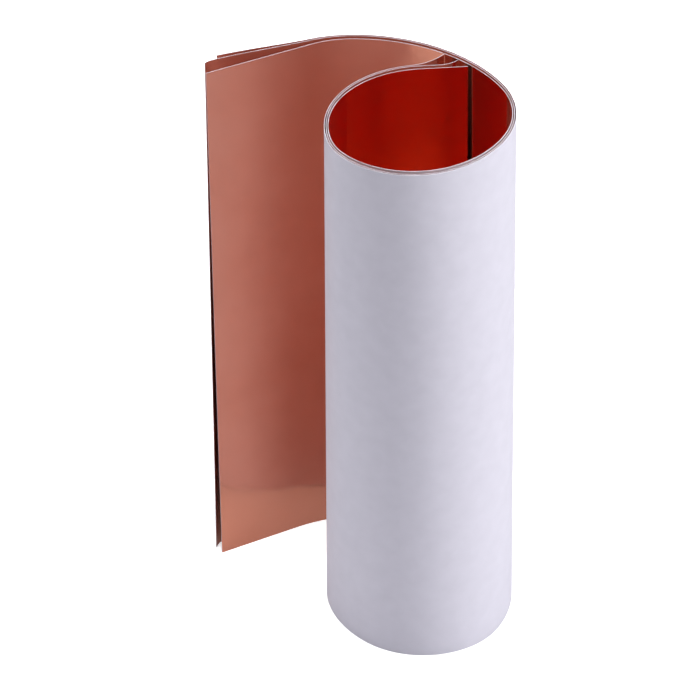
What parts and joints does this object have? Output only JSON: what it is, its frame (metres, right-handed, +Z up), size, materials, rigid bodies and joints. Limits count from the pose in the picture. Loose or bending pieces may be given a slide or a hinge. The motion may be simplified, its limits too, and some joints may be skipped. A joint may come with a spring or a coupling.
{
  "type": "adhesive copper foil roll",
  "caption": "Nested copper foil sheets with adhesive and paper release liners, loosely rolled together and standing on edge, with their free ends as a curved tail.",
  "frame": {"origin": "on the surface that the roll stands on, below the middle of the whole object's box", "axes": "+Z up along the roll's axis and the sheets' cut ends, +X towards the roll and away from the tail's free ends, +Y towards the back, where the tail lies"},
  "size_m": [0.1094, 0.0874, 0.2032],
  "materials": {
    "copper_foil": "bright rolled copper foil, smooth, lightly streaked",
    "adhesive": "thin clear acrylic adhesive coat",
    "release_liner": "smooth white silicone release paper, satin"
  },
  "bodies": {
    "outer_roll": {"outer_roll_foil": "copper_foil", "outer_roll_adhesive": "adhesive", "outer_roll_liner": "release_liner"},
    "outer_tail": {"outer_tail_foil": "copper_foil", "outer_tail_adhesive": "adhesive", "outer_tail_liner": "release_liner"},
    "middle_roll": {"middle_roll_foil": "copper_foil", "middle_roll_adhesive": "adhesive", "middle_roll_liner": "release_liner"},
    "middle_tail": {"middle_tail_foil": "copper_foil", "middle_tail_adhesive": "adhesive", "middle_tail_liner": "release_liner"},
    "inner_roll": {"inner_roll_foil": "copper_foil", "inner_roll_adhesive": "adhesive", "inner_roll_liner": "release_liner"},
    "inner_tail": {"inner_tail_foil": "copper_foil", "inner_tail_adhesive": "adhesive", "inner_tail_liner": "release_liner"}
  },
  "joints": [
    {"name": "tail_flex", "type": "hinge", "parent": "outer_roll", "child": "outer_tail", "pos_m": [0.0505, 0.01214, 0], "axis": [0, 0, -1], "range_deg": [0, 35], "stiffness_Nm_per_rad": 0.03},
    {"name": "middle_tail_flex", "type": "hinge", "parent": "middle_roll", "child": "middle_tail", "pos_m": [0.0505, 0.01214, 0], "axis": [0, 0, -1], "range_deg": [0, 35]},
    {"name": "inner_tail_flex", "type": "hinge", "parent": "inner_roll", "child": "inner_tail", "pos_m": [0.0505, 0.01214, 0], "axis": [0, 0, -1], "range_deg": [0, 35]},
    {"name": "middle_sheet_lift", "type": "slide", "parent": "outer_roll", "child": "middle_roll", "axis": [0, 0, 1], "range_m": [0, 0.21]},
    {"name": "inner_sheet_lift", "type": "slide", "parent": "outer_roll", "child": "inner_roll", "axis": [0, 0, 1], "range_m": [0, 0.21]}
  ],
  "couplings": [
    {"joint": "middle_tail_flex", "follows": "tail_flex", "ratio": 1},
    {"joint": "inner_tail_flex", "follows": "tail_flex", "ratio": 1}
  ]
}
